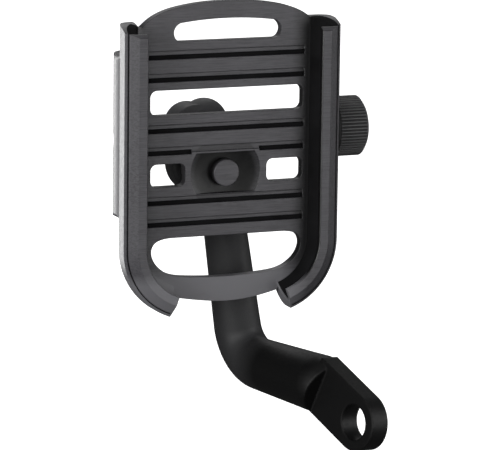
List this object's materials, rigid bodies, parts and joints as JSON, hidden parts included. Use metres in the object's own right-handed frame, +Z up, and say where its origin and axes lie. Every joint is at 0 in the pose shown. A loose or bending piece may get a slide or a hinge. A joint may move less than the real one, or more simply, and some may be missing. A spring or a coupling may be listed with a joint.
{
  "type": "phone handlebar mount",
  "caption": "Open skeleton phone cradle with one sliding jaw drawn by a side knob, on a ball joint at the end of a bent arm with a flat bolt eye.",
  "frame": {"origin": "centre of the mirror eye's bore, midway through the flat tongue", "axes": "+X across the cradle towards the knob, +Y from the phone towards the back of the cradle, +Z up along the cradle"},
  "size_m": [0.0832, 0.0816, 0.134],
  "materials": {
    "cast_body": "satin black anodised, fine blasted grain",
    "knob_aluminium": "black anodised, knurled",
    "coated_arm": "satin black powder coat",
    "black_steel": "black oxide steel",
    "bright_steel": "zinc plated steel",
    "black_rubber": "matt moulded rubber",
    "brass": "machined brass",
    "acetal": "moulded bearing plastic"
  },
  "bodies": {
    "arm": {"arm": "coated_arm", "lobe_set_screw": "black_steel"},
    "stud": {"ball_stud": "bright_steel", "spring_washer": "bright_steel", "clamp_nut": "black_steel"},
    "seat": {"ball_seat": "acetal"},
    "head": {"main_body": "cast_body", "centre_pin": "black_steel", "grip_strips": "black_rubber", "fixed_jaw_pad": "black_rubber", "socket_ring": "knob_aluminium"},
    "jaw": {"movable_jaw": "cast_body", "movable_jaw_pad": "black_rubber", "guide_rod_upper": "bright_steel", "guide_rod_lower": "bright_steel", "draw_tube": "brass"},
    "screw": {"lead_screw": "bright_steel", "knob": "knob_aluminium", "knob_grub_screw": "black_steel", "thrust_washer": "bright_steel"}
  },
  "joints": [
    {"name": "head_swivel", "type": "hinge", "parent": "arm", "child": "stud", "pos_m": [-0.02892, 0.05056, 0.07172], "axis": [0, 1, 0], "range_deg": [-50, 50]},
    {"name": "head_tilt", "type": "hinge", "parent": "stud", "child": "seat", "pos_m": [-0.02892, 0.05056, 0.07172], "axis": [1, 0, 0], "range_deg": [-8, 8]},
    {"name": "head_pan", "type": "hinge", "parent": "seat", "child": "head", "pos_m": [-0.02892, 0.05056, 0.07172], "axis": [0, 0, 1], "range_deg": [-6, 6]},
    {"name": "knob_spin", "type": "hinge", "parent": "head", "child": "screw", "pos_m": [0.01308, 0.04736, 0.08322], "axis": [1, 0, 0], "range_deg": [0, 2160.2]},
    {"name": "jaw_slide", "type": "slide", "parent": "head", "child": "jaw", "axis": [-1, 0, 0], "range_m": [0, 0.024]}
  ],
  "couplings": [
    {"joint": "knob_spin", "follows": "jaw_slide", "rad_per_m": 1570.8}
  ]
}
